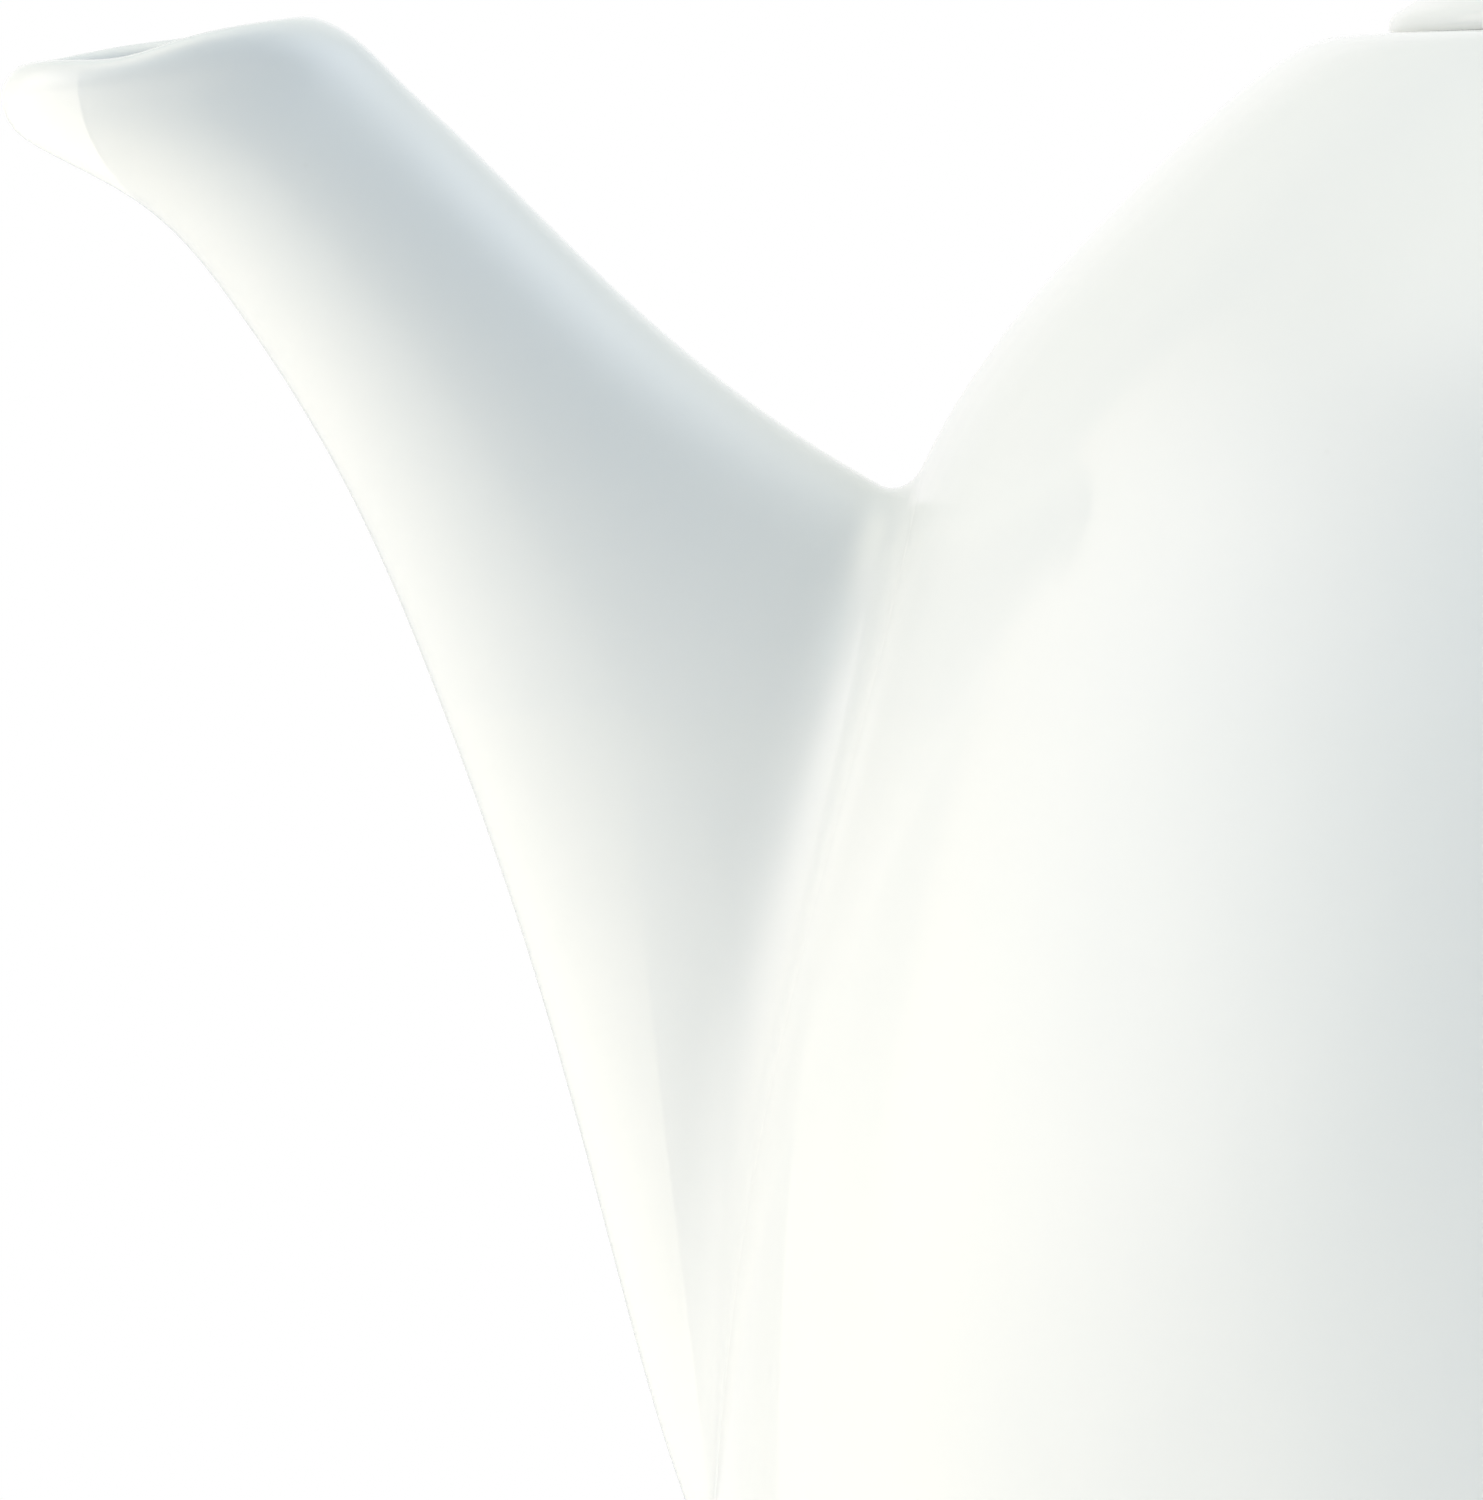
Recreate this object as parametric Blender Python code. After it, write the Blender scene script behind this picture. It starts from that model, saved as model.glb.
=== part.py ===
"""White porcelain coffee pot: a tall rounded body, a long curved spout, a loop handle
and a lift-off lid with a knob.

The frame: origin on the body's axis in the plane the foot stands on, +Z up, the spout
towards -X and the handle towards +X. All dimensions below are in millimetres; MM turns
them into Blender's metres as the meshes are made.
"""

import math

import bmesh
import bpy
import numpy as np

MM = 0.001

# Clearance between neighbouring pieces, and how far a cutter runs past what it cuts
GAP = 0.3
CUT_MARGIN = 3.0

# Body: turned shell with a foot ring, an inward flange round its mouth and a notch in it
WALL = 3.4
FOOT_RADIUS = 44.0
FOOT_WIDTH = 4.6
FOOT_HEIGHT = 4.5
# The foot's flare and the hollow inside it: how far they run out and up
FOOT_FLARE = (0.5, 4.0)
FOOT_HOLLOW = [(2.4, 4.5), (0.5, 3.1)]
FLOOR_THICKNESS = 4.2
# The rounding between floor and wall: radius and height above the floor
FLOOR_ROUNDING = [(46.5, 3.6), (41.0, 0.7), (34.0, 0.0)]
FLOOR_ROUNDING_TOP = 8.0
RIM_HEIGHT = 168.0
RIM_FLAT_RADIUS = 29.4
THROAT_RADIUS = 24.4
THROAT_DEPTH = 4.4
# Where the underside of the flange meets the inner wall, and how far below the flange's lower edge
FLANGE_ROOT = (30.5, 0.6)
FLANGE_CLEAR = 7.0
EDGE = 0.8
BODY_SEGMENTS = 48
BODY_STEPS = 26
BODY_OUTLINE = [
    (46.2, 6.5),
    (53.2, 19.0),
    (60.2, 38.0),
    (64.8, 60.0),
    (66.2, 83.0),
    (65.2, 102.0),
    (61.8, 120.0),
    (57.0, 135.8),
    (51.2, 148.2),
    (42.5, 158.4),
    (35.8, 164.7),
    (33.3, 166.7),
    (31.4, 167.65),
]

# Spout: each station is the lower edge (x, z), the upper edge (x, z) and the half width
SPOUT_WALL = 2.6
# Rounding of the lip, and how far its crest stands over the mouth's lower and upper edge
SPOUT_LIP = 1.1
LIP_CREST = [0.1, 0.99, -0.1, 0.44, 0.0]
SPOUT_SIDES = 24
SPOUT_RINGS = 22
SPOUT_STATIONS = [
    (-107.0, 165.0, -87.0, 168.3, 8.5),
    (-104.9, 161.7, -84.7, 166.4, 8.1),
    (-99.1, 158.5, -81.4, 163.2, 8.2),
    (-93.7, 152.8, -76.1, 157.9, 8.8),
    (-87.3, 142.6, -69.4, 151.5, 9.6),
    (-81.7, 129.8, -60.8, 144.9, 10.6),
    (-76.0, 113.4, -50.5, 139.0, 11.8),
    (-71.2, 96.0, -42.0, 134.0, 12.6),
    (-66.4, 81.0, -33.0, 128.0, 13.0),
    (-58.0, 66.0, -24.0, 120.0, 13.0),
]
# Oval hole through the body wall behind the spout
HOLE_HEIGHT = 114.5
HOLE_HALF_HEIGHT = 19.0
HOLE_HALF_WIDTH = 8.0
HOLE_START = 44.0
HOLE_END = 80.0

# Handle: each point is (x, z) on its centre line, half thickness and half width
HANDLE_SIDES = 16
HANDLE_RINGS = 30
HANDLE_POINTS = [
    (40.0, 145.5, 7.4, 9.4),
    (54.0, 154.0, 6.6, 8.8),
    (71.0, 159.6, 5.6, 8.2),
    (88.0, 156.4, 5.2, 8.0),
    (98.6, 143.6, 5.2, 8.0),
    (101.6, 125.6, 5.3, 8.0),
    (98.4, 106.0, 5.3, 7.8),
    (89.6, 88.0, 5.3, 7.6),
    (77.0, 73.4, 5.6, 7.6),
    (63.0, 62.6, 6.4, 8.2),
    (52.0, 56.0, 7.2, 9.0),
]

# Lid: flanged dome with a skirt that drops into the throat, a vent and a locking lug
LID_RADIUS = 27.1
LID_THICKNESS = 3.0
LID_SEAT = RIM_HEIGHT + GAP
SKIRT_RADIUS = 23.7
SKIRT_WALL = 2.8
SKIRT_BOTTOM = 154.0
LID_SEGMENTS = 48
DOME_STEPS = 7
LID_DOME = [(25.4, 170.4), (19.6, 173.0), (13.4, 175.8), (7.2, 178.2)]
# The flange's rounded edge: distance in from the lid's radius and height over the seat
LID_EDGE = [(0.6, 1.5), (0.0, 0.7), (0.2, 0.1), (0.6, 0.0)]
# The hollow under the dome
LID_HOLLOW = [(17.0, 171.0), (11.0, 173.6), (5.0, 175.2)]
LUG_WIDTH = 8.0
LUG_HEIGHT = 4.0
LUG_REACH = 26.0
NOTCH_CLEARANCE = 0.7
VENT_RADIUS = 1.7
VENT_OFFSET = 16.5
VENT_SEGMENTS = 16

# Knob: turned, luted to the top of the dome
KNOB_SEGMENTS = 28
KNOB_STEPS = 14
KNOB_SEAT = LID_DOME[-1][1] + GAP
KNOB_OUTLINE = [
    (6.0, KNOB_SEAT),
    (5.2, 182.0),
    (6.6, 186.2),
    (10.2, 190.6),
    (11.6, 195.2),
    (9.6, 199.8),
    (5.0, 202.4),
]
KNOB_TOP = 203.2

# Colour, roughness and metallic value of the glaze, and the share of that colour each piece has
PORCELAIN = ((0.93, 0.935, 0.92), 0.08, 0.0)
SHADES = {"pot_body": 1.0, "spout": 0.99, "handle": 0.99, "lid": 0.985, "lid_knob": 0.98}


def clear_scene():
    for old in list(bpy.data.objects):
        bpy.data.objects.remove(old, do_unlink=True)


def smooth_curve(points, steps):
    """Points along a smooth curve through the given ones, evenly spaced by chord."""
    points = np.array(points, float)
    chords = np.linalg.norm(np.diff(points, axis=0), axis=1)
    slopes = np.diff(points, axis=0) / chords[:, None]
    before = chords[:-1, None]
    after = chords[1:, None]
    inner = (slopes[:-1] * after + slopes[1:] * before) / (before + after)
    tangents = np.vstack([slopes[:1], inner, slopes[-1:]])
    starts = np.concatenate([[0.0], np.cumsum(chords)])
    curve = []
    for distance in np.linspace(0.0, starts[-1], steps + 1):
        span = min(np.searchsorted(starts, distance, side="right") - 1, len(chords) - 1)
        length = chords[span]
        t = (distance - starts[span]) / length
        there = 3 * t**2 - 2 * t**3
        curve.append(
            points[span] * (1 - there)
            + points[span + 1] * there
            + tangents[span] * (t**3 - 2 * t**2 + t) * length
            + tangents[span + 1] * (t**3 - t**2) * length
        )
    return curve


def corner_arc(centre, radius, start, end, steps):
    """Points on an arc in a profile plane, from one angle to another in degrees."""
    angles = np.radians(np.linspace(start, end, steps + 1))
    return [(centre[0] + radius * math.cos(a), centre[1] + radius * math.sin(a)) for a in angles]


def offset_outline(outline, distance):
    """The outline moved sideways, to the left of its direction when distance is positive."""
    outline = np.array(outline, float)
    along = np.gradient(outline, axis=0)
    along /= np.linalg.norm(along, axis=1)[:, None]
    left = np.stack([-along[:, 1], along[:, 0]], axis=1)
    return [tuple(point) for point in outline + left * distance]


def new_object(name, bm):
    """An object from a finished bmesh: normals out, shaded smooth, with its own material."""
    bmesh.ops.remove_doubles(bm, verts=bm.verts, dist=0.00001)
    bmesh.ops.recalc_face_normals(bm, faces=bm.faces)
    mesh = bpy.data.meshes.new(name)
    bm.to_mesh(mesh)
    bm.free()
    mesh.shade_smooth()
    mesh.set_sharp_from_angle(angle=math.radians(35))
    obj = bpy.data.objects.new(name, mesh)
    bpy.context.collection.objects.link(obj)
    if name in SHADES:
        mesh.materials.append(porcelain(name, SHADES[name]))
    return obj


def porcelain(name, shade):
    colour, roughness, metallic = PORCELAIN
    material = bpy.data.materials.new(name + "_porcelain")
    material.use_nodes = True
    shader = material.node_tree.nodes["Principled BSDF"]
    shader.inputs["Base Color"].default_value = [shade * c for c in colour] + [1.0]
    shader.inputs["Roughness"].default_value = roughness
    shader.inputs["Metallic"].default_value = metallic
    return material


def turned(name, outline, segments):
    """A solid of revolution about Z from a closed outline of (radius, height) points."""
    bm = bmesh.new()
    verts = [bm.verts.new((radius * MM, 0.0, height * MM)) for radius, height in outline]
    edges = [bm.edges.new(pair) for pair in zip(verts, verts[1:])]
    bmesh.ops.spin(
        bm,
        geom=verts + edges,
        cent=(0.0, 0.0, 0.0),
        axis=(0.0, 0.0, 1.0),
        angle=2 * math.pi,
        steps=segments,
    )
    return new_object(name, bm)


def skin(bm, rings, loops):
    """Faces between each ring of points and the next."""
    for near, far in loops:
        for k in range(len(rings[near])):
            after = (k + 1) % len(rings[near])
            corners = (rings[near][k], rings[near][after], rings[far][after], rings[far][k])
            bm.faces.new(corners)


def ring_verts(bm, rings):
    return [[bm.verts.new([c * MM for c in point]) for point in ring] for ring in rings]


def lofted(name, rings):
    """A closed tube through rings of equal length, with a flat cap at each end."""
    bm = bmesh.new()
    verts = ring_verts(bm, rings)
    skin(bm, verts, [(k, k + 1) for k in range(len(rings) - 1)])
    bm.faces.new(verts[0])
    bm.faces.new(verts[-1])
    bmesh.ops.triangulate(bm, faces=bm.faces)
    return new_object(name, bm)


def looped(name, rings):
    """A closed shell through rings of equal length, the last joined to the first."""
    bm = bmesh.new()
    verts = ring_verts(bm, rings)
    skin(bm, verts, [(k, (k + 1) % len(rings)) for k in range(len(rings))])
    bmesh.ops.triangulate(bm, faces=bm.faces)
    return new_object(name, bm)


def block(name, low, high):
    """A box between two corners."""
    bm = bmesh.new()
    bmesh.ops.create_cube(bm, size=1.0)
    for vert in bm.verts:
        for axis in range(3):
            centre = (low[axis] + high[axis]) / 2
            vert.co[axis] = (centre + vert.co[axis] * (high[axis] - low[axis])) * MM
    return new_object(name, bm)


def rod(name, centre, radius, low, high, segments):
    """An upright cylinder."""
    outline = [(0.0, low), (radius, low), (radius, high), (0.0, high)]
    obj = turned(name, outline, segments)
    obj.location = (centre[0] * MM, centre[1] * MM, 0.0)
    return obj


def boolean(obj, tool, operation):
    """Cuts a tool away from an object, or joins it on, and hides the tool."""
    modifier = obj.modifiers.new(operation.lower() + "_" + tool.name, "BOOLEAN")
    modifier.operation = operation
    modifier.object = tool
    modifier.solver = "EXACT"
    tool.hide_render = True
    tool.display_type = "WIRE"


def outer_wall():
    """The body's outer surface, from just above the foot up to the flat of the rim."""
    points = BODY_OUTLINE + [(RIM_FLAT_RADIUS, RIM_HEIGHT)]
    return [tuple(p) for p in smooth_curve(points, BODY_STEPS)]


def body_outline():
    """The body's section: foot, outer wall, rim, throat, inner wall and floor."""
    foot_inner = FOOT_RADIUS - FOOT_WIDTH
    floor = FOOT_HEIGHT + FLOOR_THICKNESS
    outer = outer_wall()
    # The inner wall follows the outer one, from under the throat's flange to the floor
    lowest, highest = floor + FLOOR_ROUNDING_TOP, RIM_HEIGHT - FLANGE_CLEAR
    inner = [p for p in offset_outline(outer, WALL) if lowest < p[1] < highest]
    inner.reverse()
    under_flange = RIM_HEIGHT - THROAT_DEPTH
    return (
        [(0.0, FOOT_HEIGHT)]
        + [(foot_inner - inwards, height) for inwards, height in FOOT_HOLLOW]
        + [(foot_inner, EDGE), (foot_inner + EDGE, 0.0), (FOOT_RADIUS - EDGE, 0.0)]
        + [(FOOT_RADIUS, EDGE), (FOOT_RADIUS + FOOT_FLARE[0], FOOT_FLARE[1])]
        + outer
        + corner_arc((THROAT_RADIUS + EDGE, RIM_HEIGHT - EDGE), EDGE, 90, 180, 2)
        + corner_arc((THROAT_RADIUS + EDGE, under_flange + EDGE), EDGE, 180, 270, 2)
        + [(FLANGE_ROOT[0], under_flange - FLANGE_ROOT[1])]
        + inner
        + [(radius, floor + height) for radius, height in FLOOR_ROUNDING]
        + [(0.0, floor)]
    )


def make_body_envelope():
    """The space the body fills, with the clearance its neighbours keep from it."""
    outer = offset_outline(outer_wall(), -GAP)
    low = FOOT_HEIGHT / 2
    outline = [(0.0, low), (FOOT_RADIUS, low)] + outer + [(0.0, RIM_HEIGHT)]
    return turned("body_envelope", outline, BODY_SEGMENTS)


def spout_section(station, inset):
    """An oval ring across the spout, drawn in from its outside by the inset."""
    low = np.array([station[0], 0.0, station[1]])
    high = np.array([station[2], 0.0, station[3]])
    centre = (low + high) / 2
    reach = (high - low) / 2
    half = np.linalg.norm(reach)
    up = reach / half * (half - inset)
    side = np.array([0.0, station[4] - inset, 0.0])
    angles = np.linspace(0.0, 2 * math.pi, SPOUT_SIDES, endpoint=False)
    return [centre + up * math.cos(a) + side * math.sin(a) for a in angles]


def spout_stations():
    return smooth_curve(SPOUT_STATIONS, SPOUT_RINGS)


def make_spout(envelope):
    """The hollow spout: outside, rounded lip and channel, cut off at the body's surface."""
    stations = spout_stations()
    mouth = stations[0]
    lip_top = mouth + np.array(LIP_CREST)
    outside = [spout_section(s, 0.0) for s in reversed(stations)]
    lip = [spout_section(lip_top, SPOUT_LIP)]
    channel = [spout_section(s, SPOUT_WALL) for s in stations]
    spout = looped("spout", outside + lip + channel)
    boolean(spout, envelope, "DIFFERENCE")
    return spout


def make_wall_hole():
    """The way from the body into the spout, cut straight through the wall."""
    angles = np.linspace(0.0, 2 * math.pi, SPOUT_SIDES, endpoint=False)
    rings = []
    for x in (-HOLE_START, -HOLE_END):
        rings.append(
            [
                (x, HOLE_HALF_WIDTH * math.cos(a), HOLE_HEIGHT + HOLE_HALF_HEIGHT * math.sin(a))
                for a in angles
            ]
        )
    return lofted("wall_hole", rings)


def make_body():
    body = turned("pot_body", body_outline(), BODY_SEGMENTS)
    boolean(body, make_wall_hole(), "DIFFERENCE")
    # The notch lets the lid's lug through the throat
    half = LUG_WIDTH / 2 + NOTCH_CLEARANCE
    low = (-LUG_REACH - NOTCH_CLEARANCE, -half, RIM_HEIGHT - THROAT_DEPTH - CUT_MARGIN)
    high = (-THROAT_RADIUS + CUT_MARGIN, half, RIM_HEIGHT + CUT_MARGIN)
    boolean(body, block("throat_notch", low, high), "DIFFERENCE")
    return body


def make_handle(envelope):
    """The loop handle: an oval strap swept along its centre line, cut off at the body."""
    points = smooth_curve(HANDLE_POINTS, HANDLE_RINGS)
    path = np.array([p[:2] for p in points])
    along = np.gradient(path, axis=0)
    along /= np.linalg.norm(along, axis=1)[:, None]
    angles = np.linspace(0.0, 2 * math.pi, HANDLE_SIDES, endpoint=False)
    rings = []
    for (x, z, thick, wide), (run, rise) in zip(points, along):
        out = np.array([-rise, 0.0, run]) * thick
        side = np.array([0.0, wide, 0.0])
        centre = np.array([x, 0.0, z])
        rings.append([centre + out * math.cos(a) + side * math.sin(a) for a in angles])
    handle = lofted("handle", rings)
    boolean(handle, envelope, "DIFFERENCE")
    return handle


def lid_outline():
    """The lid's section: dome, rounded flange, skirt and hollow underside."""
    dome = [tuple(p) for p in smooth_curve(LID_DOME[::-1], DOME_STEPS)]
    edge = [(LID_RADIUS - inwards, LID_SEAT + height) for inwards, height in LID_EDGE]
    skirt = [(SKIRT_RADIUS, LID_SEAT), (SKIRT_RADIUS, SKIRT_BOTTOM + EDGE)]
    skirt_inner = SKIRT_RADIUS - SKIRT_WALL
    foot = [(SKIRT_RADIUS - EDGE, SKIRT_BOTTOM), (skirt_inner + EDGE, SKIRT_BOTTOM)]
    wall = [(skirt_inner, SKIRT_BOTTOM + EDGE), (skirt_inner, RIM_HEIGHT)]
    top = LID_DOME[-1][1]
    ceiling = LID_HOLLOW + [(0.0, top - LID_THICKNESS)]
    return [(0.0, top)] + dome + edge + skirt + foot + wall + ceiling


def make_lid():
    lid = turned("lid", lid_outline(), LID_SEGMENTS)
    lug_low = (-LUG_REACH, -LUG_WIDTH / 2, SKIRT_BOTTOM + EDGE)
    lug_high = (-SKIRT_RADIUS + SKIRT_WALL / 2, LUG_WIDTH / 2, SKIRT_BOTTOM + EDGE + LUG_HEIGHT)
    boolean(lid, block("locking_lug", lug_low, lug_high), "UNION")
    low, high = LID_SEAT - CUT_MARGIN, LID_DOME[-1][1] + CUT_MARGIN
    vent = rod("steam_vent", (VENT_OFFSET, 0.0), VENT_RADIUS, low, high, VENT_SEGMENTS)
    boolean(lid, vent, "DIFFERENCE")
    return lid


def make_knob():
    outline = [(0.0, KNOB_SEAT)] + [tuple(p) for p in smooth_curve(KNOB_OUTLINE, KNOB_STEPS)]
    return turned("lid_knob", outline + [(0.0, KNOB_TOP)], KNOB_SEGMENTS)


def build():
    clear_scene()
    envelope = make_body_envelope()
    make_body()
    make_spout(envelope)
    make_handle(envelope)
    make_lid()
    make_knob()


build()
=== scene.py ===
"""Looks of the porcelain coffee pot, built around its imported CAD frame.

Each CAD node is replaced by a finely modelled piece of glazed porcelain that follows the
same outlines. The spout, the handle and the knob run out onto their neighbours in small
fillets, as luted joints do under glaze. Outlines are in millimetres; MM turns them into
metres as the meshes are made.
"""

import math

import bmesh
import bpy
import numpy as np
from mathutils import Matrix, Vector


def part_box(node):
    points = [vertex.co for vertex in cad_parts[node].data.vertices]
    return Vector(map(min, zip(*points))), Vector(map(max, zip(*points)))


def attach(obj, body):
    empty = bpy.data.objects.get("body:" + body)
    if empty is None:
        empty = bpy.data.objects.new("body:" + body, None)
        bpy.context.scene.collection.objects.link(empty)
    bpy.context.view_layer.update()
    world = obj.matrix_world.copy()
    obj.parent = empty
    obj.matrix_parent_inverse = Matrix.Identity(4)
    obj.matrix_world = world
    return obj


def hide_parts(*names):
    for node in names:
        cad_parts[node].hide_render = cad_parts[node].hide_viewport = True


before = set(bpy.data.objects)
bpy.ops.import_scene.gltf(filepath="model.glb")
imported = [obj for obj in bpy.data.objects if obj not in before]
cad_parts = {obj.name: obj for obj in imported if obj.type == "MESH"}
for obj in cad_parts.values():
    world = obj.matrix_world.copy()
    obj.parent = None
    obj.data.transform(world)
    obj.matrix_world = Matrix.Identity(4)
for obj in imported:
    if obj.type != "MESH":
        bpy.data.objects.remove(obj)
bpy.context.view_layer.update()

MM = 0.001

# Radius in millimetres below which a point counts as lying on the axis
ON_AXIS = 1e-6
# Distance in metres below which the corners a Boolean leaves are one
WELD = 2e-6

# Heights and radii that the frame gives
BODY_HIGH = np.array(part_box("pot_body")[1]) / MM
LID_LOW, LID_HIGH = (np.array(corner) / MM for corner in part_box("lid"))
RIM_HEIGHT = BODY_HIGH[2]
BELLY_RADIUS = BODY_HIGH[0]
LID_RADIUS = LID_HIGH[0]

# Air that keeps the lid's flange and the rim from sharing a surface
SEAT_GAP = 0.04
LID_SEAT = RIM_HEIGHT + SEAT_GAP

# How far a cutter runs past what it cuts, and the angle from which an edge of a cut stays sharp
CUT_MARGIN = 3.0
CUT_CREASE = 40

# Body: outlines are (radius, height) points
WALL = 3.4
FOOT_RADIUS = 44.0
FOOT_WIDTH = 4.6
FOOT_HEIGHT = 4.5
FLOOR_THICKNESS = 4.2
THROAT_RADIUS = 24.4
THROAT_DEPTH = 4.4
RIM_FLAT_RADIUS = 29.2
FOOT_ROUNDING = 1.1
RIM_ROUNDING = 1.2
BODY_SEGMENTS = 192
BODY_STEPS = 120
BODY_OUTLINE = [
    (45.4, 5.6),
    (53.2, 19.0),
    (60.2, 38.0),
    (64.8, 60.0),
    (66.2, 83.0),
    (65.2, 102.0),
    (61.8, 120.0),
    (57.0, 135.8),
    (51.2, 148.2),
    (42.5, 158.4),
    (35.8, 164.7),
    (33.3, 166.6),
    (31.4, 167.65),
    (RIM_FLAT_RADIUS, RIM_HEIGHT),
]
# Heights of these are over the foot's height: the pot's underside and the hollow inside its ring
UNDERSIDE = [(0.0, 0.5), (24.0, 0.3)]
FOOT_HOLLOW = [(34.0, 0.0), (37.2, -0.4)]
FOOT_INSIDE_HEIGHT = 1.9
# How far the foot flares beyond its radius, at which heights
FOOT_FLARE = [(0.0, 2.2), (0.25, 3.6)]
# Heights over the flange's lower edge, where it runs into the wall
FLANGE_ROOT = [(28.2, -0.2), (31.4, -1.5)]
# Heights over the floor, where it runs into the wall, and the part of the wall left to each end
BOWL = [(46.4, 3.8), (42.0, 1.3), (36.0, 0.15), (28.0, 0.0)]
WALL_ENDS = 8.0

# Spout: each station is the lower edge (x, z), the upper edge (x, z) and the half width
SPOUT_WALL = 2.6
SPOUT_SIDES = 96
SPOUT_ROWS = 76
SPOUT_CROWDING = 1.15
CHANNEL_ROWS = 44
# Lip: share of the wall at which its crest lies, and length of the rounding on either side of it
LIP_ROWS = 9
LIP_CREST = 0.62
LIP_INSIDE = 1.4
LIP_AT_BEAK = 1.9
LIP_AT_HEEL = 3.4
# The lip's sag on the near side and rise on the far one: place and width along the mouth, where
# -1 is the beak and 1 the heel, height of each, and reach down the spout
SAG_AT = -0.36
SAG_WIDTH = 0.46
NEAR_DIP = 0.75
FAR_RISE = 0.2
SAG_REACH = 4.0
SPOUT_STATIONS = [
    (-106.9, 166.2, -87.9, 169.4, 8.5),
    (-106.95, 165.1, -86.9, 168.4, 8.35),
    (-106.85, 164.1, -86.1, 167.6, 8.2),
    (-106.2, 162.7, -85.0, 166.5, 8.05),
    (-104.4, 161.4, -83.7, 165.2, 8.0),
    (-99.1, 158.5, -81.0, 162.7, 8.2),
    (-93.7, 152.8, -76.4, 158.2, 8.8),
    (-87.3, 142.6, -69.4, 151.5, 9.6),
    (-81.7, 129.8, -60.8, 144.9, 10.6),
    (-76.0, 113.4, -50.5, 139.0, 11.8),
    (-71.2, 96.0, -42.0, 134.0, 12.6),
    (-66.4, 81.0, -33.0, 128.0, 13.0),
    (-58.0, 66.0, -24.0, 120.0, 13.0),
]
# Oval hole through the body's wall behind the spout
HOLE_SIDES = 64
HOLE_HEIGHT = 114.5
HOLE_HALF_HEIGHT = 19.0
HOLE_HALF_WIDTH = 8.0
HOLE_START = 44.0
HOLE_END = 80.0

# Handle: each point is (x, z) on its centre line, half thickness and half width
HANDLE_SIDES = 64
HANDLE_ROWS = 110
HANDLE_POINTS = [
    (40.0, 145.5, 7.4, 9.4),
    (54.0, 154.0, 6.6, 8.8),
    (71.0, 159.6, 5.6, 8.2),
    (88.0, 156.4, 5.2, 8.0),
    (98.6, 143.6, 5.2, 8.0),
    (101.57, 125.6, 5.3, 8.0),
    (98.4, 106.0, 5.3, 7.8),
    (89.6, 88.0, 5.3, 7.6),
    (77.0, 73.4, 5.6, 7.6),
    (63.0, 62.6, 6.4, 8.2),
    (52.0, 56.0, 7.2, 9.0),
]

# Fillets: how far off the wall each begins; the spout's changes round its root, from 0 degrees
# at the upper edge to 180 at the lower one
FILLET_STEPS = 16
SPOUT_FILLET = [(0, 1.8), (30, 3.2), (60, 4.1), (90, 4.2), (115, 3.8), (140, 3.0), (180, 1.8)]
HANDLE_FILLET = 2.4
# How far each spreads over the wall: a share of that distance, and a length on top for the spout
SPOUT_SPREAD = (0.9, 0.4)
HANDLE_SPREAD = 1.3
# Stiffness of the curve; then how far it runs on under the wall's surface, how deep, and how deep
# the piece's end is buried in the wall
FILLET_PULL = 0.6
RUN_UNDER = 0.6
SINK = 0.02
BURY = 1.3
# Stiffness of a cubic that stands in for a quarter circle
CORNER_PULL = 0.56

# Lid and knob
LID_SEGMENTS = 160
SKIRT_RADIUS = 23.7
SKIRT_WALL = 2.8
SKIRT_BOTTOM = LID_LOW[2]
LID_DOME = [(0.0, 178.9), (4.0, 178.6), (7.2, 177.9), (13.4, 175.6), (19.6, 172.9), (25.0, 170.4)]
LID_CEILING = [(17.5, 171.2), (11.0, 174.0), (5.0, 175.5), (0.0, 175.9)]
# The flange's rounded edge and underside, and the skirt's upper end
LID_EDGE = [(26.3, 169.6), (LID_RADIUS - 0.05, 168.9), (LID_RADIUS, LID_SEAT + 0.25)]
FLANGE_EDGE = [(LID_RADIUS - 0.15, LID_SEAT + 0.05), (LID_RADIUS - 0.4, LID_SEAT)]
SKIRT_ROOT = [(SKIRT_RADIUS + 0.5, LID_SEAT), (SKIRT_RADIUS + 0.12, LID_SEAT - 0.15)]
SKIRT_TOP = LID_SEAT - 0.6
SKIRT_MIDDLE = SKIRT_BOTTOM + 6.0
LUG_WIDTH = 8.0
LUG_HEIGHT = 4.0
LUG_REACH = 26.0
LUG_RAISE = 0.8
LUG_ROUNDING = 0.9
NOTCH_CLEARANCE = 0.7
NOTCH_ROUNDING = 1.2
NOTCH_INSIDE = 4.0
# Vent: where the rounding of its upper and lower edge begins
VENT_RADIUS = 1.7
VENT_OFFSET = 16.5
VENT_ROUNDING = 0.9
VENT_TOP = 174.0
VENT_FOOT = 172.0
VENT_SEGMENTS = 40
# Knob, and the fillet at its neck: radius at which that meets the dome, how far the dome and the
# neck pull it, and how many of the dome's dense points it runs on under it
KNOB_SEGMENTS = 112
KNOB_STEPS = 60
KNOB_CREASE = 60
NECK_FOOT_RADIUS = 8.6
NECK_ON_DOME = 2.2
NECK_ON_KNOB = (0.1, 1.5)
NECK_STEPS = 12
NECK_RUN = 30
KNOB_SUNK = 1.0
KNOB_OUTLINE = [
    (5.35, 181.4),
    (5.2, 182.6),
    (6.6, 186.2),
    (10.2, 190.6),
    (11.6, 195.2),
    (9.6, 199.8),
    (5.0, 202.4),
    (0.0, 203.2),
]


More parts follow.
